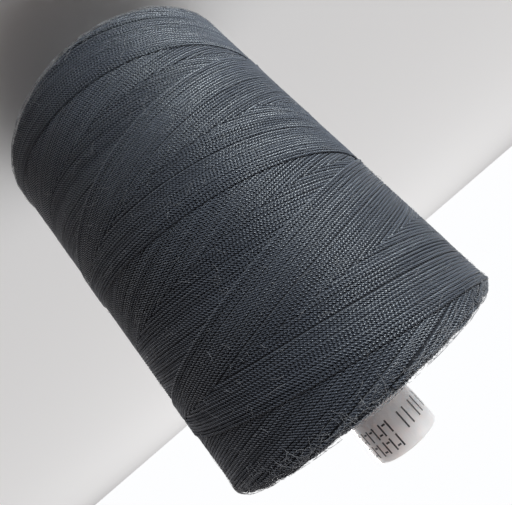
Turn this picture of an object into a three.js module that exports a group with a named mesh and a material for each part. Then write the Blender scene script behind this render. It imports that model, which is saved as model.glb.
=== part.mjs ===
// Cross-wound spool of sewing thread: a moulded tube and the thread package wound on it.
// Millimetres, +Z up along the spool's axis. The spool stands on the plain end of its
// tube, and the origin is the centre of that end. The marked end of the tube is up.

import * as THREE from 'three';

// Tube: the moulded core that the thread is wound on
const TUBE_BORE_RADIUS = 3.5;      // slips over a spool pin of up to 6 mm
const TUBE_WALL = 1.0;
const PLAIN_END_LENGTH = 8.0;      // bare tube below the thread
const MARKED_END_LENGTH = 8.0;     // bare tube above the thread, which carries the marks
const BORE_CHAMFER = 0.3;          // lead-in at each mouth of the bore
const TUBE_EDGE_RADIUS = 0.15;     // small round at each outer edge of the tube

// Thread package: the body of wound thread
const PACKAGE_RADIUS = 20.0;
const PACKAGE_LENGTH = 52.0;       // over the flat ends; the traverse of the winding is a little less
const PACKAGE_EDGE_RADIUS = 1.1;   // where the thread turns back at each end
const WINDING_CLEARANCE = 0.3;     // between the tube and the innermost wraps

// Faceting
const TUBE_SEGMENTS = 96;
const PACKAGE_SEGMENTS = 144;
const TUBE_EDGE_STEPS = 3;
const PACKAGE_EDGE_STEPS = 8;

// Sizes that follow from the ones above
const tubeOuterRadius = TUBE_BORE_RADIUS + TUBE_WALL;
const tubeLength = PLAIN_END_LENGTH + PACKAGE_LENGTH + MARKED_END_LENGTH;
const windingBoreRadius = tubeOuterRadius + WINDING_CLEARANCE;
const windingDepth = PACKAGE_RADIUS - windingBoreRadius;
const boreChamfer = Math.min(BORE_CHAMFER, TUBE_WALL / 3);
const tubeEdgeRadius = Math.min(TUBE_EDGE_RADIUS, TUBE_WALL / 4);
const packageEdgeRadius = Math.min(PACKAGE_EDGE_RADIUS, windingDepth / 3, PACKAGE_LENGTH / 4);

// Points of a quarter circle of the given radius about (centreR, centreZ), from one angle
// to the next a quarter turn on, as [radius, height] pairs
function quarterRound(centreR, centreZ, radius, startAngle, steps) {
  const points = [];
  for (let i = 0; i <= steps; i += 1) {
    const angle = startAngle + (Math.PI / 2) * (i / steps);
    points.push([centreR + radius * Math.cos(angle), centreZ + radius * Math.sin(angle)]);
  }
  return points;
}

// A closed ring: the outline, given anticlockwise as [radius, height] pairs, is turned
// about the Z axis
function turnedRing(outline, segments) {
  const closed = [...outline, outline[0]];
  const profile = closed.map(([radius, height]) => new THREE.Vector2(radius, height));
  const geometry = new THREE.LatheGeometry(profile, segments);
  geometry.rotateX(Math.PI / 2);
  return geometry;
}

// The tube: a plain wall with a lead-in chamfer at each mouth of its bore and a small
// round at each outer edge, leaving a flat ring at each end
function tubeOutline() {
  const outerEdge = tubeOuterRadius - tubeEdgeRadius;
  return [
    [TUBE_BORE_RADIUS + boreChamfer, 0],
    ...quarterRound(outerEdge, tubeEdgeRadius, tubeEdgeRadius, -Math.PI / 2, TUBE_EDGE_STEPS),
    ...quarterRound(outerEdge, tubeLength - tubeEdgeRadius, tubeEdgeRadius, 0, TUBE_EDGE_STEPS),
    [TUBE_BORE_RADIUS + boreChamfer, tubeLength],
    [TUBE_BORE_RADIUS, tubeLength - boreChamfer],
    [TUBE_BORE_RADIUS, boreChamfer],
  ];
}

// The wound body: flat ends and a parallel side, rounded where the thread turns back
function packageOutline() {
  const edge = packageEdgeRadius;
  const bottom = PLAIN_END_LENGTH;
  const top = bottom + PACKAGE_LENGTH;
  const edgeCentre = PACKAGE_RADIUS - edge;
  return [
    [windingBoreRadius, bottom],
    ...quarterRound(edgeCentre, bottom + edge, edge, -Math.PI / 2, PACKAGE_EDGE_STEPS),
    ...quarterRound(edgeCentre, top - edge, edge, 0, PACKAGE_EDGE_STEPS),
    [windingBoreRadius, top],
  ];
}

function namedMesh(name, geometry, material) {
  const mesh = new THREE.Mesh(geometry, material);
  mesh.name = name;
  return mesh;
}

const tubePlastic = new THREE.MeshStandardMaterial({
  color: 0xe4e2e2,
  roughness: 0.35,
  metalness: 0,
});

const slateThread = new THREE.MeshStandardMaterial({
  color: 0x4c5057,
  roughness: 0.8,
  metalness: 0,
});

const spool = new THREE.Group();
spool.add(namedMesh('moulded_tube', turnedRing(tubeOutline(), TUBE_SEGMENTS), tubePlastic));
spool.add(namedMesh('thread_package', turnedRing(packageOutline(), PACKAGE_SEGMENTS), slateThread));

export default spool;
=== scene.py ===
"""Cross-wound spool of sewing thread, laid out as a Blender add-on and run as a script.

The package is wound as a precision winder does it. The thread climbs and falls in strokes of
a constant lead, each stroke beside the last, so two families of wraps cross at a small angle
and the newest of each lies over the rest. The visible wraps are modelled one by one, as a
three-ply twisted profile carried along its helix.
"""

import math

import bpy
import numpy as np
from bpy.props import FloatProperty, FloatVectorProperty, IntProperty, PointerProperty
from mathutils import Matrix, Vector


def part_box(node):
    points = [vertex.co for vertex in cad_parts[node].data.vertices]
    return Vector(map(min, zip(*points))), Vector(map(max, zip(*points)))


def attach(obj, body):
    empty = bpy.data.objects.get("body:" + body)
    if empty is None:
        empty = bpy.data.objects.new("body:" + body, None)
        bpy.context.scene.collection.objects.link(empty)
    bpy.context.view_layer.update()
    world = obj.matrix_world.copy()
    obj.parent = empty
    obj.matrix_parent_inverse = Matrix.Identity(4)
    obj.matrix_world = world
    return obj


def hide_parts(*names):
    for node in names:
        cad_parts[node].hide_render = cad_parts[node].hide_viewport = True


bl_info = {
    "name": "Cross-wound Thread Spool",
    "version": (1, 0, 0),
    "blender": (4, 5, 0),
    "location": "3D View > Sidebar > Spool",
    "description": "Builds the thread, tube and stage of a cross-wound spool on its frame",
    "category": "Mesh",
}

MM = 0.001
TURN = 2 * math.pi

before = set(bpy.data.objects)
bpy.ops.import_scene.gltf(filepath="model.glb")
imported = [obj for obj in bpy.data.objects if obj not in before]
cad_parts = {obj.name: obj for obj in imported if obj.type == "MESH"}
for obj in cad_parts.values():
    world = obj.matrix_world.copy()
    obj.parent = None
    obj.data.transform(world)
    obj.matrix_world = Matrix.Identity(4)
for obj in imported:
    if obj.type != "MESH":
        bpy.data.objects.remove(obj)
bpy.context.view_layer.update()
BODY = "root"
PACKAGE_LOW, PACKAGE_HIGH = [Vector(corner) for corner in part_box("thread_package")]
TUBE_HIGH = Vector(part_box("moulded_tube")[1])
PACKAGE_RADIUS = PACKAGE_HIGH.x
PACKAGE_BOTTOM = PACKAGE_LOW.z
PACKAGE_TOP = PACKAGE_HIGH.z
TUBE_RADIUS = TUBE_HIGH.x
TUBE_LENGTH = TUBE_HIGH.z
EDGE = 1.1 * MM  # radius of the package's rounded edges
FRONT = -math.pi / 2  # the angle of the spool's front, which faces -Y


# ---- Settings ----


class SpoolWindingSettings(bpy.types.PropertyGroup):
    """Sizes of the thread and of the way it is wound."""

    thread_width: FloatProperty(
        name="Thread width",
        description="Width of the thread as it lies in the package",
        default=0.385 * MM,
        min=0.1 * MM,
        max=1.0 * MM,
        unit="LENGTH",
    )
    ply_depth: FloatProperty(
        name="Ply groove depth",
        description="How far the grooves between the three plies go in, as a share of the radius",
        default=0.42,
        min=0.0,
        max=0.6,
        subtype="FACTOR",
    )
    twist_pitch: FloatProperty(
        name="Twist pitch",
        description="Length of one full turn of the three-ply twist",
        default=1.17 * MM,
        min=0.5 * MM,
        max=4.0 * MM,
        unit="LENGTH",
    )
    lead: FloatProperty(
        name="Lead",
        description="Height that the thread climbs in one turn of the package",
        default=20.4 * MM,
        min=5 * MM,
        max=40 * MM,
        unit="LENGTH",
    )
    wraps_per_lead: IntProperty(
        name="Wraps per lead",
        description="Wraps that lie side by side in one lead before the winding closes",
        default=56,
        min=20,
        max=120,
    )
    newest_climb: FloatProperty(
        name="Newest climbing wrap",
        description="Distance from the package's top to the newest climbing wrap, at the front",
        default=4.6 * MM,
        min=0.0,
        unit="LENGTH",
    )
    end_inset: FloatProperty(
        name="Reversal inset",
        description="Distance from the package's top to where the straight wraps would meet",
        default=0.45 * MM,
        min=0.0,
        unit="LENGTH",
    )
    layer_step: FloatProperty(
        name="Layer step",
        description="Height of the step at the edge of the newest wraps",
        default=0.17 * MM,
        min=0.0,
        unit="LENGTH",
    )
    crossing_dip: FloatProperty(
        name="Crossing dip",
        description="How far a wrap dips where it passes under the other family",
        default=0.30 * MM,
        min=0.0,
        unit="LENGTH",
    )


class SpoolColourSettings(bpy.types.PropertyGroup):
    """Colours of the thread, the painted shade deep between its plies and wraps, the tube and its
    marks.
    """

    thread: FloatVectorProperty(
        name="Thread",
        description="Colour of the slate grey thread on its plies",
        default=(0.058, 0.068, 0.091),
        size=3,
        min=0.0,
        max=1.0,
        subtype="COLOR",
    )
    # Painted shade: this dark colour stands for the shade deep in the grooves between the plies,
    # and the core between the wraps is painted from it.
    painted_shade: FloatVectorProperty(
        name="Thread grooves",
        description="Colour deep between the plies",
        default=(0.006, 0.007, 0.011),
        size=3,
        min=0.0,
        max=1.0,
        subtype="COLOR",
    )
    fibre: FloatVectorProperty(
        name="Loose fibres",
        description="Colour of the fibre ends that stand off the thread",
        default=(0.22, 0.22, 0.24),
        size=3,
        min=0.0,
        max=1.0,
        subtype="COLOR",
    )
    tube: FloatVectorProperty(
        name="Tube",
        description="Colour of the moulded tube",
        default=(0.88, 0.85, 0.855),
        size=3,
        min=0.0,
        max=1.0,
        subtype="COLOR",
    )
    ink: FloatVectorProperty(
        name="Ink",
        description="Colour of the printed marks",
        default=(0.045, 0.045, 0.05),
        size=3,
        min=0.0,
        max=1.0,
        subtype="COLOR",
    )


class SpoolStageSettings(bpy.types.PropertyGroup):
    """Strengths of the studio's light and colour of its floor."""

    floor: FloatVectorProperty(
        name="Floor",
        description="Colour of the floor",
        default=(0.92, 0.92, 0.92),
        size=3,
        min=0.0,
        max=1.0,
        subtype="COLOR",
    )
    backdrop: FloatProperty(
        name="Backdrop",
        description="Strength of the pale light from behind the spool",
        default=1.0,
        min=0.0,
    )
    room: FloatProperty(
        name="Room",
        description="Strength of the light from the room in front of the spool",
        default=0.10,
        min=0.0,
    )
    backdrop_lamp: FloatProperty(
        name="Backdrop lamp",
        description="Power of the broad lamp over the floor behind the spool, in watts",
        default=6.0,
        min=0.0,
    )
    window: FloatProperty(
        name="Window light",
        description="Power of the small lamp close to the spool, low at its left, in watts",
        default=0.190,
        min=0.0,
    )
    upper_window: FloatProperty(
        name="Upper window light",
        description="Power of the weaker lamp higher up at the spool's left, in watts",
        default=0.16,
        min=0.0,
    )
    rear_window: FloatProperty(
        name="Rear window light",
        description="Power of the lamp behind the spool, in watts",
        default=0.9,
        min=0.0,
    )


# ---- Shader maths ----


def shaded(colour, share):
    """A colour made lighter or darker by a share."""
    return tuple(min(1.0, part * share) for part in colour)


class Value:
    """A socket that carries a number, with the arithmetic of Math nodes."""

    def __init__(self, tree, socket):
        self.tree = tree
        self.socket = socket

    def _math(self, operation, *terms):
        return self.tree.value("ShaderNodeMath", {"operation": operation}, terms)

    def __add__(self, other):
        return self._math("ADD", self, other)

    def __sub__(self, other):
        return self._math("SUBTRACT", self, other)

    def __mul__(self, other):
        return self._math("MULTIPLY", self, other)

    def __rsub__(self, other):
        return self._math("SUBTRACT", other, self)

    __radd__ = __add__
    __rmul__ = __mul__

    def cosine(self):
        return self._math("COSINE", self)

    def between(self, low, high):
        """0 at low, 1 at high, smooth between."""
        settings = {"interpolation_type": "SMOOTHSTEP"}
        return self.tree.value("ShaderNodeMapRange", settings, (self, low, high, 0.0, 1.0))


class Tree:
    """The nodes of one material."""

    def __init__(self, name):
        self.material = bpy.data.materials.new(name)
        self._begin(self.material, "ShaderNodeOutputMaterial")

    @classmethod
    def for_world(cls, name):
        """A tree for the light from all round, set as the scene's world."""
        tree = cls.__new__(cls)
        world = bpy.data.worlds.new(name)
        tree._begin(world, "ShaderNodeOutputWorld")
        bpy.context.scene.world = world
        return tree

    def _begin(self, owner, output_kind):
        owner.use_nodes = True
        self.nodes = owner.node_tree.nodes
        self.links = owner.node_tree.links
        self.nodes.clear()
        self.output = self.nodes.new(output_kind)

    def node(self, kind, settings=None, inputs=()):
        """A node of any kind. Settings come first; inputs are by place, or by name in a dict."""
        node = self.nodes.new(kind)
        for key, value in (settings or {}).items():
            setattr(node, key, value)
        pairs = inputs.items() if isinstance(inputs, dict) else enumerate(inputs)
        for key, value in pairs:
            if isinstance(value, Value):
                value = value.socket
            if isinstance(value, bpy.types.NodeSocket):
                self.links.new(value, node.inputs[key])
            else:
                node.inputs[key].default_value = value
        return node

    def value(self, kind, settings=None, inputs=(), output=0):
        """A node, as the number that one of its outputs gives."""
        return Value(self, self.node(kind, settings, inputs).outputs[output])

    def place(self):
        """The place on the piece, in metres."""
        return self.node("ShaderNodeTexCoord").outputs["Object"]

    def attribute(self, name):
        """A number stored on the piece's vertices."""
        return self.value("ShaderNodeAttribute", {"attribute_name": name}, output="Fac")

    def noise(self, vector, scale, detail=2.0, roughness=0.5):
        """Cloudy noise, from 0 to 1, with scale cells to a unit of the vector."""
        inputs = {"Vector": vector, "Scale": scale, "Detail": detail, "Roughness": roughness}
        return self.value("ShaderNodeTexNoise", {}, inputs, "Fac")

    def mix(self, factor, low, high):
        """A colour between two colours. The Mix node's colours are its inputs 6 and 7, and
        its mixed colour is output 2."""
        inputs = {0: factor, 6: (*low, 1.0), 7: (*high, 1.0)}
        return self.node("ShaderNodeMix", {"data_type": "RGBA"}, inputs).outputs[2]

    def shades(self, factor, colour, low, high):
        """A colour between two shades of one colour."""
        return self.mix(factor, shaded(colour, low), shaded(colour, high))

    def bump(self, strength, distance, height):
        """A normal for a surface that stands up by distance where height is 1."""
        inputs = {"Strength": strength, "Distance": distance, "Height": height}
        return self.node("ShaderNodeBump", {}, inputs).outputs[0]

    def surface(self, **inputs):
        """A Principled shader, with its inputs by name and _ for a space."""
        named = {key.replace("_", " "): value for key, value in inputs.items()}
        return self.node("ShaderNodeBsdfPrincipled", {}, named).outputs[0]

    def finish(self, surface):
        """The material, with its surface joined to the output."""
        self.links.new(surface, self.output.inputs["Surface"])
        return self.material


def thread_material(name, colours, carved):
    """Three-ply thread. The plies are the crests of cos(3 (place round the thread)), counted
    from the turning section on carved pieces and from an upright one on the others. Glossy
    crests and dull dark grooves are two shaders, mixed by that cosine; the dark grooves are
    painted shade."""
    tree = Tree(name)
    along = tree.node("ShaderNodeUVMap", {"uv_map": "Thread"}).outputs["UV"]
    place = tree.node("ShaderNodeSeparateXYZ", {}, (along,))
    turns = Value(tree, place.outputs["X"])
    around = Value(tree, place.outputs["Y"])
    if not carved:
        around = around - turns
    strand = tree.attribute("tone")
    ply = (around * (3 * TURN)).cosine() * 0.5 + 0.5
    fibre_place = tree.node(
        "ShaderNodeCombineXYZ", {}, (turns * 2.0, around * 30.0, strand * 90.0)
    )
    fibre = tree.noise(fibre_place.outputs[0], scale=2.0, detail=3.0, roughness=0.6)
    lump_place = tree.node("ShaderNodeCombineXYZ", {}, (turns, around * 1.5, strand * 70.0))
    lump = tree.noise(lump_place.outputs[0], scale=2.2, detail=1.0)
    cloud = tree.noise(tree.place(), scale=160.0, detail=3.0, roughness=0.55)
    tone = strand * 0.2 + fibre * 0.5 + lump * 0.5 + cloud * 0.3 - 0.25
    lit = tree.shades(tone, colours.thread, 0.62, 1.5)
    rough = fibre * 0.2 + 0.24
    relief = ply * 1.8 + fibre * 0.3 + lump * 0.3
    crest = tree.surface(
        Base_Color=lit,
        Roughness=rough,
        Normal=tree.bump(0.6, 0.02 * MM, relief),
        Sheen_Weight=0.2,
        Sheen_Roughness=0.45,
        Specular_IOR_Level=0.9,
    )
    # Painted shade: a dark, dull shader with little gloss stands for the shade deep in the grooves
    # between the plies.
    groove = tree.surface(
        Base_Color=(*colours.painted_shade, 1.0), Roughness=0.9, Specular_IOR_Level=0.1
    )
    crest_share = ply.between(0.0, 0.5)
    both = tree.node("ShaderNodeMixShader", {}, (crest_share, groove, crest))
    return tree.finish(both.outputs[0])


def core_material(colours):
    """The wound thread seen deep between the wraps, painted in the colour of shade: dark, dull and
    mottled.
    """
    tree = Tree("winding_shade")
    place = tree.place()
    mottle = tree.noise(place, scale=900.0, detail=2.0, roughness=0.6)
    base = tree.shades(mottle, colours.painted_shade, 0.9, 2.2)
    normal = tree.bump(0.4, 0.05 * MM, mottle)
    return tree.finish(tree.surface(Base_Color=base, Roughness=0.85, Normal=normal))


def fuzz_material(colours):
    """Loose fibre ends, paler than the thread."""
    tree = Tree("loose_fibre")
    place = tree.place()
    vary = tree.noise(place, scale=700.0, detail=1.0)
    base = tree.shades(vary, colours.fibre, 0.5, 1.3)
    return tree.finish(tree.surface(Base_Color=base, Roughness=0.55, Sheen_Weight=0.2))


def tube_material(colours):
    """White moulded plastic with a soft gloss, faint flow lines along it, duller and glossier
    patches, and light that spreads a little inside it."""
    tree = Tree("tube_plastic")
    place = tree.place()
    stretched = tree.node(
        "ShaderNodeMapping", {}, {"Vector": place, "Scale": (1.0, 1.0, 0.08)}
    )
    flow = tree.noise(stretched.outputs[0], scale=1400.0, detail=2.0)
    cloud = tree.noise(place, scale=220.0, detail=4.0, roughness=0.6)
    tone = flow * 0.35 + cloud * 0.65
    base = tree.shades(tone, colours.tube, 0.93, 1.06)
    rough = cloud * 0.14 + 0.27
    surface = tree.surface(
        Base_Color=base,
        Roughness=rough,
        Normal=tree.bump(0.12, 0.02 * MM, flow * 0.6 + cloud * 0.4),
        Coat_Weight=0.15,
        Subsurface_Weight=0.7,
        Subsurface_Radius=(1.0, 0.85, 0.8),
        Subsurface_Scale=3 * MM,
    )
    return tree.finish(surface)


def ink_material(colours):
    """Dark ink, broken a little where it didn't take."""
    tree = Tree("mark_ink")
    place = tree.place()
    grain = tree.noise(place, scale=5200.0, detail=3.0, roughness=0.65)
    base = tree.mix(grain.between(0.35, 0.75), colours.ink, shaded(colours.ink, 3.2))
    return tree.finish(tree.surface(Base_Color=base, Roughness=0.5))


def floor_material(stage):
    """Plain matt floor, with a very faint mottle."""
    tree = Tree("pale_floor")
    place = tree.place()
    mottle = tree.noise(place, scale=6.0, detail=2.0)
    base = tree.shades(mottle, stage.floor, 0.985, 1.0)
    return tree.finish(tree.surface(Base_Color=base, Roughness=0.8))


# ---- Mesh helpers ----


def smoothstep(x):
    """0 below 0, 1 above 1, and 3x^2 - 2x^3 between."""
    x = np.clip(x, 0.0, 1.0)
    return x * x * (3.0 - 2.0 * x)


def polar(radius, angle, height):
    """Points at a radius, angle and height, as an array with x, y, z last."""
    radius, angle, height = np.broadcast_arrays(radius, angle, height)
    return np.stack([radius * np.cos(angle), radius * np.sin(angle), height], axis=-1)


def unit(vectors):
    """The vectors, each divided by its length."""
    return vectors / np.linalg.norm(vectors, axis=-1, keepdims=True)


def add_piece(name, points, loops, sizes, material, uv_maps=None, numbers=None, sharp=None):
    """A mesh object from whole arrays: points, the faces' corners in a row, and how many
    corners each face has. uv_maps are per corner and numbers per point."""
    mesh = bpy.data.meshes.new(name)
    mesh.vertices.add(len(points))
    mesh.vertices.foreach_set("co", np.ascontiguousarray(points, np.float32).ravel())
    mesh.loops.add(len(loops))
    mesh.loops.foreach_set("vertex_index", np.ascontiguousarray(loops, np.int32))
    mesh.polygons.add(len(sizes))
    starts = np.concatenate([[0], np.cumsum(sizes)[:-1]]).astype(np.int32)
    mesh.polygons.foreach_set("loop_start", starts)
    mesh.update(calc_edges=True)
    mesh.polygons.foreach_set("use_smooth", np.ones(len(sizes), bool))
    for map_name, places in (uv_maps or {}).items():
        layer = mesh.uv_layers.new(name=map_name)
        layer.uv.foreach_set("vector", np.ascontiguousarray(places, np.float32).ravel())
    for key, values in (numbers or {}).items():
        store = mesh.attributes.new(key, "FLOAT", "POINT")
        store.data.foreach_set("value", np.ascontiguousarray(values, np.float32))
    if sharp is not None:
        mesh.set_sharp_from_angle(angle=sharp)
    if mesh.validate():
        raise RuntimeError(f"{name} had faulty faces")
    piece = bpy.data.objects.new(name, mesh)
    bpy.context.scene.collection.objects.link(piece)
    mesh.materials.append(material)
    return piece


def place_on_spool(piece, slot, *replaced):
    """Tells the frame what the piece rides on and what it stands for. slot, its finish, is not
    used.
    """
    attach(piece, BODY)
    if replaced:
        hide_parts(*replaced)


def without_scraps(show, least):
    """The kept samples, less any stretch shorter than the least number of samples: an
    erosion and then a dilation along each strand."""
    window = np.lib.stride_tricks.sliding_window_view
    padded = np.pad(show, ((0, 0), (least - 1, least - 1)))
    whole = window(padded, least, axis=1).all(axis=-1)
    return window(whole, least, axis=1).any(axis=-1)


SIDES = 6  # points round a strand: three ply crests and three grooves
FLATTEN, WIDEN = 0.86, 1.10  # a wound strand's height and width, over a round one's


def strand_arrays(centre, outward, turns, section, show):
    """A section carried along many strands at once.

    centre and outward are strands x samples x 3; turns is how far the section has turned at
    each sample; section is the radius at each of its points; show says which samples are
    kept. Point j of a ring lies at centre + section_j (flatten cos a outward + widen sin a
    sideways), with a = 2 pi (j / sides + turns). Neighbouring kept rings are joined by
    quads, and each end of a kept stretch is closed by one face."""
    ahead = unit(np.gradient(centre, axis=1))
    sideways = unit(np.cross(ahead, outward))
    upright = np.cross(sideways, ahead)
    sides = len(section)
    angle = TURN * (np.arange(sides) / sides + turns[..., None])
    ring = centre[..., None, :] + section[:, None] * (
        FLATTEN * np.cos(angle)[..., None] * upright[..., None, :]
        + WIDEN * np.sin(angle)[..., None] * sideways[..., None, :]
    )
    number = np.cumsum(show.ravel()).reshape(show.shape) - 1
    joined = show[:, :-1] & show[:, 1:]
    first = number[:, :-1][joined] * sides
    second = number[:, 1:][joined] * sides
    j = np.arange(sides)
    j2 = (j + 1) % sides
    quads = np.stack(
        [
            first[:, None] + j,
            first[:, None] + j2,
            second[:, None] + j2,
            second[:, None] + j,
        ],
        -1,
    )
    before = np.pad(show, ((0, 0), (1, 0)))[:, :-1]
    after = np.pad(show, ((0, 0), (0, 1)))[:, 1:]
    starts = number[show & ~before] * sides
    ends = number[show & ~after] * sides
    caps = np.concatenate([starts[:, None] + j[::-1], ends[:, None] + j])
    return ring[show].reshape(-1, 3), quads, caps, joined


def strip_layout(quads, caps, along, sides, stretch):
    """Two UV maps for a set of strands. OFBake lays the joined rings end to end in rows that
    fill the square, with the end faces in one more row at the top. Thread gives the turns of
    twist and the place round the thread. stretch is a ring's length over a side's width."""
    filled, margin = 0.94, 0.02  # share of a row's height that is used, and the gap below it
    cap_size = 0.42  # an end face's radius, as a share of its cell
    count = len(quads)
    rows = max(1, int(round(math.sqrt(count * stretch / sides))))
    per_row = -(-count // rows)
    height = 1.0 / (rows + 1)
    index = np.arange(count)
    row, column = index // per_row, index % per_row
    side = np.arange(sides)
    low = column[:, None] / per_row
    high = (column[:, None] + 1) / per_row
    base = (row[:, None] + (side / sides) * filled + margin) * height
    top = (row[:, None] + ((side + 1) / sides) * filled + margin) * height
    low, high = np.broadcast_to(low, base.shape), np.broadcast_to(high, base.shape)
    bake = np.stack([low, base, low, top, high, top, high, base], -1).reshape(-1, 2)
    corner = TURN * np.arange(sides) / sides
    centre_u = (np.arange(len(caps)) + 0.5) / len(caps)
    cap_u = centre_u[:, None] + cap_size / len(caps) * np.cos(corner)
    cap_v = (rows + 0.5) * height + cap_size * height * np.sin(corner) + 0 * cap_u
    bake = np.concatenate([bake, np.stack([cap_u, cap_v], -1).reshape(-1, 2)])
    first, second = along
    v_low = np.broadcast_to(side / sides, base.shape)
    v_high = v_low + 1 / sides
    first = np.broadcast_to(first[:, None], base.shape)
    second = np.broadcast_to(second[:, None], base.shape)
    thread = np.stack(
        [first, v_low, first, v_high, second, v_high, second, v_low], -1
    ).reshape(-1, 2)
    cap_thread = np.zeros((len(caps) * sides, 2))
    return {"OFBake": bake, "Thread": np.concatenate([thread, cap_thread])}


def add_strands(name, centre, outward, turns, section, show, material, stretch, tone, carved):
    """One piece from many strands. Carved strands turn their section with the twist; the
    others keep it upright, and the material draws the plies."""
    turned = turns if carved else turns * 0
    points, quads, caps, joined = strand_arrays(centre, outward, turned, section, show)
    sides = len(section)
    along = (turns[:, :-1][joined], turns[:, 1:][joined])
    uv_maps = strip_layout(quads, caps, along, sides, stretch)
    numbers = {"tone": np.repeat(np.broadcast_to(tone[:, None], show.shape)[show], sides)}
    loops = np.concatenate([quads.ravel(), caps.ravel()])
    sizes = np.concatenate([np.full(quads.size // 4, 4), np.full(len(caps), sides)])
    return add_piece(name, points, loops, sizes, material, uv_maps, numbers)


# ---- The winding ----


class Winding:
    """Where every wrap of the package lies.

    Climbing wraps go towards the marked end and falling ones towards the plain end, both
    clockwise seen from above. Each double stroke lies one wrap behind the one before, so a
    wrap's age, from 0 at the newest to 1, is its distance from the newest wrap of its family
    as a share of the lead."""

    BLEND = math.radians(8)  # half the turn in which the thread reverses at an end
    TURNS_PER_DOUBLE_STROKE = 5
    PROUD = 0.14 * MM  # how far a round newest wrap would pass the package's radius
    UNEVEN = 0.05  # how much the spacing varies from wrap to wrap, as a share of it
    WIDER = {3: 0.15, 11: 0.30, 19: 0.12, 27: 0.22, 38: 0.16, 55: 0.5}  # and more after these
    SLACK = 0.18 * MM  # how far short of the ends the wraps turn back, as a deviation
    SLACK_REACH = 1.1  # swept angle over which that fades out
    SHOWN_UNDER = 2.2  # a wrap is made where fewer wraps of the other family are newer,
    SHOWN_BESIDE = 3.0  # or where the other family's newest wrap is nearer, in wraps

    def __init__(self, settings):
        self.width = settings.thread_width
        self.lead = settings.lead
        self.count = settings.wraps_per_lead
        self.step = settings.layer_step
        self.dip = settings.crossing_dip
        self.twist = settings.twist_pitch
        self.groove = settings.ply_depth
        self.rise = self.lead / TURN
        self.axis_radius = PACKAGE_RADIUS - self.width / 2 + self.PROUD
        self.top = PACKAGE_TOP - settings.end_inset
        climb = PACKAGE_TOP - settings.newest_climb
        self.newest = {"climbing": climb, "falling": 2 * self.top - self.lead - climb}
        spacing = self.lead / self.count
        stroke = (self.TURNS_PER_DOUBLE_STROKE * self.lead - spacing) / 2
        self.bottom = self.top - stroke
        self.sweep = stroke / self.rise
        rng = np.random.default_rng(7)
        share = 1.0 + self.UNEVEN * rng.standard_normal(self.count)
        for number, extra in self.WIDER.items():
            share[number % self.count] += extra
        share /= share.sum()
        self.offset = np.concatenate([[0.0], np.cumsum(share)[:-1]])  # ages of the wraps
        slack = np.abs(rng.normal(0.0, self.SLACK, (2, 2, self.count)))
        self.slack = {"climbing": slack[0], "falling": slack[1]}

    def age(self, family, turn, height):
        """How old the wrap of a family is at a place, from 0 at the newest to 1. turn is the
        angle from the front, anticlockwise."""
        below = self.newest[family] - height
        ahead = below if family == "climbing" else -below
        return np.mod((ahead - self.rise * turn) / self.lead, 1.0)

    def order(self, age):
        """The number of the wrap with that age."""
        ages = np.append(self.offset, 1.0)
        return np.interp(age, ages, np.arange(self.count + 1))

    def reversal(self, swept):
        """How far a wrap has moved from an end of its stroke after it swept an angle: the
        parabola swept^2 / (2 blend) + blend / 2 near the end, and swept beyond it."""
        near = swept * swept / (2 * self.BLEND) + self.BLEND / 2
        return self.rise * np.where(swept < self.BLEND, near, swept)

    def wraps(self, family, numbers, sample):
        """Turn and height along the numbered wraps, and the swept angle of each sample."""
        swept = np.arange(0.0, self.sweep, sample)
        swept = np.append(swept, self.sweep)[None, :]
        moved = np.where(
            swept < self.sweep / 2,
            self.reversal(swept),
            self.sweep * self.rise - self.reversal(self.sweep - swept),
        )
        offset = self.offset[numbers][:, None] * self.lead
        early, late = self.slack[family][:, numbers, None]
        moved = moved + early * smoothstep(1 - swept / self.SLACK_REACH)
        moved = moved - late * smoothstep(1 - (self.sweep - swept) / self.SLACK_REACH)
        if family == "climbing":
            height = self.bottom + moved
            start = (self.newest[family] - offset - self.bottom) / self.rise
        else:
            height = self.top - moved
            start = (self.top - self.newest[family] - offset) / self.rise
        turn = start - swept
        return turn, height + 0 * turn, swept

    def radius(self, family, numbers, turn, height):
        """Radius of a wrap's centre line, and where it isn't too deep to be seen.

        The newest wraps of each family stand one step high over the oldest, so the radius
        falls by a step times each age. A wrap under the other family lies lower by the dip."""
        other = "falling" if family == "climbing" else "climbing"
        own_age = self.offset[numbers][:, None] + 0 * turn
        other_age = self.age(other, turn, height)
        later = 0.5 if family == "climbing" else -0.5
        newer = numbers[:, None] - self.order(other_age) + later
        under = smoothstep(newer + 0.5)
        centre = self.axis_radius - self.step * (own_age + other_age) - self.dip * under
        beside = other_age * self.count
        return centre, (newer < self.SHOWN_UNDER) | (beside < self.SHOWN_BESIDE)

    def skin(self, turn, height):
        """Radius of the outermost centre line at a place."""
        ages = self.age("climbing", turn, height) + self.age("falling", turn, height)
        return self.axis_radius - self.step * ages


def wander(numbers, swept, seed, amount):
    """A slow sideways wander of neighbouring wraps: a sum of sines whose phases drift
    from wrap to wrap."""
    rng = np.random.default_rng(seed)
    drift = np.zeros((len(numbers), swept.shape[1]))
    for waves in (0.31, 0.83, 1.9, 4.3):
        phase = TURN * rng.random() + numbers[:, None] * rng.uniform(0.15, 0.5)
        drift += np.sin(waves * swept + phase) / (1 + waves)
    return amount * drift


def lumps(strands, swept, seed):
    """Small unevenness along each strand: a sum of sines whose lengths and phases are the
    strand's own."""
    rng = np.random.default_rng(seed)
    uneven = np.zeros((strands, swept.shape[1]))
    for waves, share in ((13.0, 0.5), (29.0, 0.6), (61.0, 0.45)):
        phase = rng.uniform(0, TURN, (strands, 1))
        uneven += share * np.sin(waves * rng.uniform(0.8, 1.2, (strands, 1)) * swept + phase)
    return uneven


OVERLAP = 1.02  # a strand's width over the thread's, so that neighbours touch
SAMPLES_PER_TWIST = 6


def ply_section(width, groove):
    """Radii of the thread's section: crests and grooves by turns."""
    crest = width / 2 * OVERLAP
    return crest * (1 - groove * (np.arange(SIDES) % 2))


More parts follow.
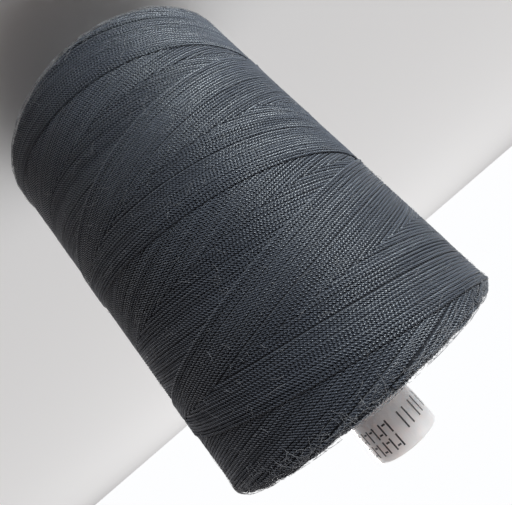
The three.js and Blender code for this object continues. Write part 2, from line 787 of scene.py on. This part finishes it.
def side_wraps(winding, family, numbers, name, material):
    """The wraps of one family that show on the package's side."""
    least_stretch = 8  # samples
    calm = 0.6  # swept angle at each end over which the wander sets in
    step_length = winding.twist / SAMPLES_PER_TWIST
    sample = step_length / PACKAGE_RADIUS
    numbers = np.asarray(numbers)
    turn, height, swept = winding.wraps(family, numbers, sample)
    radius, seen = winding.radius(family, numbers, turn, height)
    seen = without_scraps(seen, least_stretch)
    inside = smoothstep(swept / calm) * smoothstep((winding.sweep - swept) / calm)
    seed = 11 if family == "climbing" else 12
    height = height + wander(numbers, swept, seed, 0.030 * MM) * inside
    height = height + lumps(len(numbers), swept, seed + 60) * 0.012 * MM
    radius = radius + wander(numbers, swept, seed + 5, 0.012 * MM)
    radius = radius + lumps(len(numbers), swept, seed + 70) * 0.010 * MM
    centre = polar(radius, FRONT + turn, height)
    outward = polar(1.0, FRONT + turn, 0 * height)
    rng = np.random.default_rng(seed + 20)
    start = rng.random(winding.count)[numbers][:, None]
    turns = start + swept * PACKAGE_RADIUS / winding.twist
    tone = rng.random(winding.count)[numbers]
    section = ply_section(winding.width, winding.groove)
    stretch = step_length / (winding.width * math.pi / SIDES)
    return add_strands(
        name, centre, outward, turns, section, seen, material, stretch, tone, True
    )


def end_outline(length, width):
    """Centre line places on an end of the package, by the distance gone from the bore:
    along the flat face, then round the quarter circle of the edge. Gives the radius and the
    depth below the end face."""
    inset = EDGE - width / 2
    flat = PACKAGE_RADIUS - EDGE - TUBE_RADIUS
    round_angle = np.clip((length - flat) / inset, 0.0, math.pi / 2)
    radius = TUBE_RADIUS + np.minimum(length, flat) + inset * np.sin(round_angle)
    depth = width / 2 + inset * (1 - np.cos(round_angle))
    return radius, depth


def end_loops(winding, upper, from_length, to_length, name, material, carved):
    """The loops in which the thread turns back at an end. Each bows out to the end face and
    dives back into the package on both sides; each next one lies beside it and over it.

    A loop lies at length (number / per_row + lean swept / spacing) rows from the bore, so
    the loops form a spiral. Its depth below the face grows by the reversal's parabola."""
    row = winding.width * 0.92  # rows lie a little closer than a thread's width
    lean = 0.55
    extra_turn = 0.11  # how much further round each row starts, as a share of the spacing
    wave, swell = 0.10 * MM, 3  # slow change of depth from loop to loop
    stray, stray_depth, stray_turn = 0.03 * MM, 0.04 * MM, 0.02
    drawn_samples = 13
    per_row = winding.count // 2
    first = int(math.ceil(from_length / row * per_row))
    last = int(math.floor(to_length / row * per_row))
    numbers = np.arange(first, last)[:, None]
    half = math.radians(16)
    step_length = winding.twist / SAMPLES_PER_TWIST
    samples = int(2 * half * PACKAGE_RADIUS / step_length) + 1 if carved else drawn_samples
    swept = np.linspace(-half, half, samples)[None, :]
    spacing = TURN / per_row
    rng = np.random.default_rng(31 if upper else 32)
    jitter = rng.standard_normal((len(numbers), 3))
    breathe = wave * (1 + np.sin(numbers * 0.37 + np.sin(numbers * 0.071) * swell))
    length = row * (numbers / per_row + lean * swept / spacing) + stray * jitter[:, :1]
    length = np.clip(length, winding.width / 2, None)
    radius, depth = end_outline(length, winding.width)
    moved = winding.reversal(np.abs(swept)) - winding.reversal(0.0)
    depth = depth + moved + breathe + stray_depth * np.abs(jitter[:, 1:2])
    turn = -numbers * (spacing + extra_turn * spacing / per_row) + swept
    turn = turn + stray_turn * jitter[:, 2:3]
    height = PACKAGE_TOP - depth if upper else PACKAGE_BOTTOM + depth
    dive_start, dive_reach, dive = 0.25 * MM, 0.55 * MM, 0.34 * MM
    below = winding.skin(turn, height) - dive * smoothstep((depth - dive_start) / dive_reach)
    radius = np.minimum(radius, below)
    centre = polar(radius, FRONT + turn, height)
    face = np.array([0.0, 0.0, 1.0 if upper else -1.0])
    tilt = smoothstep((radius - (PACKAGE_RADIUS - EDGE)) / EDGE)[..., None]
    never_zero = 1.02
    outward = unit(polar(1.0, FRONT + turn, 0 * height) * tilt + face * (never_zero - tilt))
    turns = swept * radius / winding.twist + jitter[:, :1]
    tone = rng.random(len(numbers))
    section = ply_section(winding.width, winding.groove if carved else 0.0)
    usual_radius = 12 * MM
    stretch = 2 * half * usual_radius / (samples - 1) / (winding.width * math.pi / SIDES)
    show = np.ones(turn.shape, bool)
    return add_strands(
        name, centre, outward, turns, section, show, material, stretch, tone, carved
    )


# ---- Operators ----


def settings_of(context):
    return context.scene.thread_spool


class SPOOL_OT_winding_core(bpy.types.Operator):
    """The body of wound thread beneath the wraps that show"""

    # The surface is a grid of rings round the axis. The side lies just under the wraps, a
    # quarter circle leads to each flat end, and the last ring joins the first in the bore.

    bl_idname = "spool.winding_core"
    bl_label = "Winding Core"

    def execute(self, context):
        spool = settings_of(context)
        winding = Winding(spool.winding)
        columns, rows, edge_rows = 256, 90, 6
        under_wraps, under_edge, deep = 0.06 * MM, 0.13 * MM, 0.45 * MM
        bore_gap = 0.01 * MM
        turn = np.arange(columns) / columns * TURN
        height = np.linspace(PACKAGE_BOTTOM + EDGE, PACKAGE_TOP - EDGE, rows)[:, None]
        margin = 1.6 / winding.count  # its steps lie this far behind the newest wraps' edges
        ages = sum(
            np.mod(winding.age(family, turn, height) - margin, 1.0) + margin
            for family in ("climbing", "falling")
        )
        side = winding.axis_radius - winding.step * ages - under_wraps
        side = polar(side, FRONT + turn, height + 0 * side)
        quarter = np.linspace(0, math.pi / 2, edge_rows + 1)[1:]
        curve = EDGE - deep
        lowest_skin = winding.axis_radius - 2 * winding.step - under_edge
        edge_radius = lowest_skin - curve + curve * np.cos(quarter)
        edge_depth = EDGE - curve * np.sin(quarter)
        ring_radius = np.append(edge_radius, [TUBE_RADIUS + bore_gap])
        ring_depth = np.append(edge_depth, [deep])
        upper = polar(ring_radius[:, None], FRONT + turn, (PACKAGE_TOP - ring_depth)[:, None])
        lower = polar(
            ring_radius[::-1, None], FRONT + turn, (PACKAGE_BOTTOM + ring_depth)[::-1, None]
        )
        grid = np.concatenate([lower, side, upper])
        total = len(grid)
        i, j = np.meshgrid(np.arange(total), np.arange(columns), indexing="ij")
        i2, j2 = (i + 1) % total, (j + 1) % columns
        quads = np.stack(
            [i * columns + j, i * columns + j2, i2 * columns + j2, i2 * columns + j], -1
        ).reshape(-1, 4)
        material = core_material(spool.colours)
        piece = add_piece(
            "winding_core", grid.reshape(-1, 3), quads.ravel(), np.full(len(quads), 4), material
        )
        place_on_spool(piece, "thread", "thread_package")
        return {"FINISHED"}


class SPOOL_OT_side_wraps(bpy.types.Operator):
    """The climbing and falling wraps on the package's side"""

    bl_idname = "spool.side_wraps"
    bl_label = "Side Wraps"

    def execute(self, context):
        spool = settings_of(context)
        winding = Winding(spool.winding)
        material = thread_material("carved_thread", spool.colours, carved=True)
        parts = 4  # pieces to a family, with about as many faces each
        # A wrap shows less the older it is, and the oldest still shows a little.
        shown = np.cumsum(1.08 - winding.offset)
        group = np.minimum(parts - 1, (shown / shown[-1] * parts).astype(int))
        for family in ("climbing", "falling"):
            for part in range(parts):
                numbers = np.flatnonzero(group == part)
                name = f"{family}_wraps_{part + 1}"
                piece = side_wraps(winding, family, numbers, name, material)
                place_on_spool(piece, "thread")
        return {"FINISHED"}


class SPOOL_OT_end_loops(bpy.types.Operator):
    """The loops in which the thread turns back at both ends"""

    bl_idname = "spool.end_loops"
    bl_label = "End Loops"

    def execute(self, context):
        spool = settings_of(context)
        winding = Winding(spool.winding)
        drawn = thread_material("drawn_thread", spool.colours, carved=False)
        carved = thread_material("rim_thread", spool.colours, carved=True)
        inset = EDGE - winding.width / 2
        flat = PACKAGE_RADIUS - EDGE - TUBE_RADIUS
        rim = flat - 0.4 * MM  # the loops beyond it are carved, as their plies stand out
        outermost = flat + inset * math.pi / 2
        for upper, end in ((True, "marked"), (False, "plain")):
            face = end_loops(winding, upper, 0.0, rim, f"{end}_end_loops", drawn, False)
            place_on_spool(face, "thread")
            edge = end_loops(
                winding, upper, rim, outermost, f"{end}_edge_loops", carved, True
            )
            place_on_spool(edge, "thread")
        return {"FINISHED"}


class SPOOL_OT_loose_fibres(bpy.types.Operator):
    """Fine fibre ends that stand off the thread, most of them near the package's edges"""

    # A fibre's centre line walks over the package in steps whose heading turns evenly, and
    # its height over the thread is an arch, lift sin(pi reach s).

    bl_idname = "spool.loose_fibres"
    bl_label = "Loose Fibres"

    def execute(self, context):
        spool = settings_of(context)
        winding = Winding(spool.winding)
        rng = np.random.default_rng(41)
        on_side, on_edge, samples = 1000, 3100, 5
        count = on_side + on_edge
        thickness = np.full(3, 0.015 * MM)
        end_margin = 0.12 * MM
        turn = rng.uniform(0, TURN, count)
        edge_depth = np.abs(rng.normal(0.4, 0.6, on_edge)) * MM + end_margin
        upper = rng.random(on_edge) < 0.5
        height = np.concatenate(
            [
                rng.uniform(PACKAGE_BOTTOM + EDGE, PACKAGE_TOP - EDGE, on_side),
                np.where(upper, PACKAGE_TOP - edge_depth, PACKAGE_BOTTOM + edge_depth),
            ]
        )
        s = np.linspace(0, 1, samples)[None, :]
        length = rng.gamma(3.0, 0.33, count)[:, None] * MM
        lift = rng.uniform(0.02, 0.09, count)[:, None] * length
        heading = (rng.random(count) < 0.5) * math.pi + rng.normal(0, 0.55, count)
        bend = rng.normal(0, 0.9, count)[:, None]
        along = heading[:, None] + bend * s
        run = length / (samples - 1)
        sideways = np.cumsum(np.cos(along) * run, axis=1) - np.cos(along[:, :1]) * run
        upward = np.cumsum(np.sin(along) * run, axis=1) - np.sin(along[:, :1]) * run
        spread = turn[:, None] + sideways / PACKAGE_RADIUS
        level = np.clip(
            height[:, None] + upward, PACKAGE_BOTTOM + end_margin, PACKAGE_TOP - end_margin
        )
        depth = np.minimum(PACKAGE_TOP - level, level - PACKAGE_BOTTOM)
        rounding = EDGE - np.sqrt(EDGE**2 - np.clip(EDGE - depth, 0, EDGE) ** 2)
        ground = winding.skin(spread, level) + winding.width * 0.38 - rounding
        reach = rng.uniform(0.6, 1.0, count)[:, None]
        arch = np.sin(s * reach * math.pi)
        centre = polar(ground + lift * arch, FRONT + spread, level)
        outward = polar(1.0, FRONT + spread, 0 * level)
        turns = 0 * level
        show = np.ones(centre.shape[:2], bool)
        material = fuzz_material(spool.colours)
        stretch = 3.0
        tone = rng.random(count)
        piece = add_strands(
            "loose_fibres", centre, outward, turns, thickness, show, material, stretch, tone, False
        )
        place_on_spool(piece, "thread")
        return {"FINISHED"}


class SPOOL_OT_tube(bpy.types.Operator):
    """Moulded plastic for the tube, whose shape comes from the frame"""

    bl_idname = "spool.tube"
    bl_label = "Tube"

    def execute(self, context):
        material = tube_material(settings_of(context).colours)
        for slot in bpy.data.objects["moulded_tube"].material_slots:
            slot.material = material
        return {"FINISHED"}


class SPOOL_OT_print_marks(bpy.types.Operator):
    """Plain bars and dashes of ink round the marked end of the tube"""

    bl_idname = "spool.print_marks"
    bl_label = "Print Marks"

    def execute(self, context):
        thin, tall, short, dot = 0.20 * MM, 2.1 * MM, 1.5 * MM, 0.45 * MM
        beside = 0.10  # turn from a bar's middle to its neighbour's, in radians
        pair_turns, pair_depth = (-1.36, -0.855, -0.367), 2.85 * MM
        rows, row_start, row_step = 7, 0.12, 0.215
        upper_depth, lower_depth = 1.5 * MM, 3.3 * MM
        bars = []  # turn from the front, depth below the tube's top, length round, length up
        for turn in pair_turns:
            bars.append((turn - beside, pair_depth, thin, tall))
            bars.append((turn + beside, pair_depth, thin, tall))
        for k in range(rows):
            turn = row_start + row_step * k
            bars.append((turn, upper_depth, thin, short))
            bars.append((turn, lower_depth, thin, short))
            bars.append((turn + beside, 1.1 * MM + 0.8 * MM * (k % 2), dot, thin))
            bars.append((turn + beside, 3.7 * MM - 0.8 * MM * (k % 3 == 1), dot, thin))
        turns, depths, widths, heights = np.array(bars).T[..., None, None, None]
        cells, sunk, thick = 6, 0.004 * MM, 0.012 * MM
        u, v, w = np.meshgrid(
            np.linspace(-0.5, 0.5, cells + 1), [-0.5, 0.5], [-sunk, thick], indexing="ij"
        )
        angle = FRONT + turns + u * widths / TUBE_RADIUS
        height = TUBE_LENGTH - depths + v * heights
        points = polar(TUBE_RADIUS + w, angle, height).reshape(-1, 3)
        first_points = np.arange(len(bars))[:, None, None] * (cells + 1) * 4
        quads = (self.bar_faces(cells) + first_points).reshape(-1, 4)
        sizes = np.full(len(quads), 4)
        material = ink_material(settings_of(context).colours)
        piece = add_piece(
            "print_marks", points, quads.ravel(), sizes, material, sharp=math.radians(40)
        )
        place_on_spool(piece, "tube_plastic")
        return {"FINISHED"}

    @staticmethod
    def bar_faces(cells):
        """The faces of one bar, whose points are numbered 4 cell + 2 upper + outer. Each two
        neighbouring corners of its section bound a face along every cell, and the section
        itself closes the ends."""
        section = np.array([1, 3, 2, 0])
        following = np.roll(section, -1)
        near = 4 * np.arange(cells)[:, None]
        far = near + 4
        along = np.stack([near + section, far + section, far + following, near + following], -1)
        ends = np.stack([section, section[::-1] + 4 * cells])
        return np.concatenate([along.reshape(-1, 4), ends])


class SPOOL_OT_stage(bpy.types.Operator):
    """The pale floor, the soft light and the camera"""

    bl_idname = "spool.stage"
    bl_label = "Stage"

    def execute(self, context):
        stage = settings_of(context).stage
        floor = self.add_floor(stage)
        self.add_light(context, stage, floor)
        self.add_camera(context)
        return {"FINISHED"}

    @staticmethod
    def add_floor(stage):
        reach = 1.4
        points = np.array([[-1, -1, 0], [1, -1, 0], [1, 1, 0], [-1, 1, 0]]) * reach
        floor = add_piece(
            "pale_floor", points, np.arange(4), np.array([4]), floor_material(stage)
        )
        return floor

    @staticmethod
    def add_light(context, stage, floor):
        """Light from all round, and lamps. The windows are near, so they leave out the
        floor, which would show their edges."""
        studio = Tree.for_world("studio")
        toward = studio.node("ShaderNodeTexCoord").outputs["Generated"]
        depth = studio.value("ShaderNodeSeparateXYZ", {}, (toward,), "Y").between(-0.1, 0.6)
        strength = depth * (stage.backdrop - stage.room) + stage.room
        warm, cool = (1.0, 0.88, 0.84), (0.985, 0.99, 1.0)
        tint = studio.mix(depth, warm, cool)
        light = studio.node("ShaderNodeBackground", {}, (tint, strength))
        studio.links.new(light.outputs[0], studio.output.inputs["Surface"])
        middle = (0.0, 0.0, (PACKAGE_BOTTOM + PACKAGE_TOP) / 2)
        lights = (  # name, place, size, power and colour
            ("window", (-0.066, -0.076, 0.005), 0.05, stage.window, (0.91, 0.99, 1.0)),
            ("upper_window", (-0.215, -0.110, 0.190), 0.10, stage.upper_window, (0.95, 0.99, 1.0)),
            ("rear_window", (0.16, 0.30, 0.16), 0.12, stage.rear_window, (1.0, 0.98, 0.96)),
            ("backdrop_lamp", (0.0, 0.80, 0.80), 1.4, stage.backdrop_lamp, (1.0, 1.0, 1.0)),
        )
        left_out = bpy.data.collections.new("left_out_of_window_light")
        left_out.objects.link(floor)
        left_out.collection_objects[0].light_linking.link_state = "EXCLUDE"
        for name, place, size, power, colour in lights:
            data = bpy.data.lights.new(name, "AREA")
            data.size = size
            data.energy = power
            data.color = colour
            lamp = bpy.data.objects.new(name, data)
            lamp.location = place
            if name == "backdrop_lamp":
                target = (place[0], place[1], 0.0)
            else:
                target = middle
                lamp.light_linking.receiver_collection = left_out
            aim = Vector(target) - Vector(place)
            lamp.visible_camera = False
            lamp.rotation_euler = aim.to_track_quat("-Z", "Y").to_euler()
            context.scene.collection.objects.link(lamp)

    @staticmethod
    def add_camera(context):
        """A close camera that looks a little down and is turned well over, so that the
        marked end comes towards it at the lower right."""
        pan, tilt, roll = math.radians(2.158), math.radians(-16.987), math.radians(-139.329)
        distance, below_top = 59.1 * MM, 8.0 * MM
        forward = Vector(
            (math.sin(pan) * math.cos(tilt), math.cos(pan) * math.cos(tilt), math.sin(tilt))
        )
        level = Vector((math.cos(pan), -math.sin(pan), 0.0))
        upright = level.cross(forward)
        up = upright * math.cos(roll) + level * math.sin(roll)
        right = forward.cross(up)
        turned = Matrix((right, up, -forward)).transposed().to_4x4()
        data = bpy.data.cameras.new("camera")
        data.lens = 29.6
        data.shift_x = 0.071
        data.shift_y = -0.006
        data.clip_start = 2 * MM
        camera = bpy.data.objects.new("camera", data)
        place = Vector((0.0, -distance, PACKAGE_TOP - below_top))
        camera.matrix_world = Matrix.Translation(place) @ turned
        context.scene.collection.objects.link(camera)
        context.scene.camera = camera
        context.scene.view_settings.view_transform = "Standard"


class SpoolSettings(bpy.types.PropertyGroup):
    """All the settings of the spool."""

    winding: PointerProperty(type=SpoolWindingSettings)
    colours: PointerProperty(type=SpoolColourSettings)
    stage: PointerProperty(type=SpoolStageSettings)


OPERATORS = (
    SPOOL_OT_stage,
    SPOOL_OT_tube,
    SPOOL_OT_print_marks,
    SPOOL_OT_winding_core,
    SPOOL_OT_side_wraps,
    SPOOL_OT_end_loops,
    SPOOL_OT_loose_fibres,
)


class SPOOL_PT_sidebar(bpy.types.Panel):
    """Lists the spool's settings and the pieces that can be made"""

    bl_idname = "SPOOL_PT_sidebar"
    bl_label = "Thread Spool"
    bl_space_type = "VIEW_3D"
    bl_region_type = "UI"
    bl_category = "Spool"

    def draw(self, context):
        spool = settings_of(context)
        for heading, group in (
            ("Winding", spool.winding),
            ("Colours", spool.colours),
            ("Stage", spool.stage),
        ):
            box = self.layout.box()
            box.label(text=heading)
            for key in group.__annotations__:
                box.prop(group, key)
        for operator in OPERATORS:
            self.layout.operator(operator.bl_idname)


CLASSES = (
    SpoolWindingSettings,
    SpoolColourSettings,
    SpoolStageSettings,
    SpoolSettings,
    *OPERATORS,
    SPOOL_PT_sidebar,
)


def register():
    for item in CLASSES:
        bpy.utils.register_class(item)
    bpy.types.Scene.thread_spool = PointerProperty(type=SpoolSettings)


def unregister():
    del bpy.types.Scene.thread_spool
    for item in reversed(CLASSES):
        bpy.utils.unregister_class(item)


def main():
    register()
    bpy.ops.spool.stage()
    bpy.ops.spool.tube()
    bpy.ops.spool.print_marks()
    bpy.ops.spool.winding_core()
    bpy.ops.spool.side_wraps()
    bpy.ops.spool.end_loops()
    bpy.ops.spool.loose_fibres()


if __name__ == "__main__":
    main()
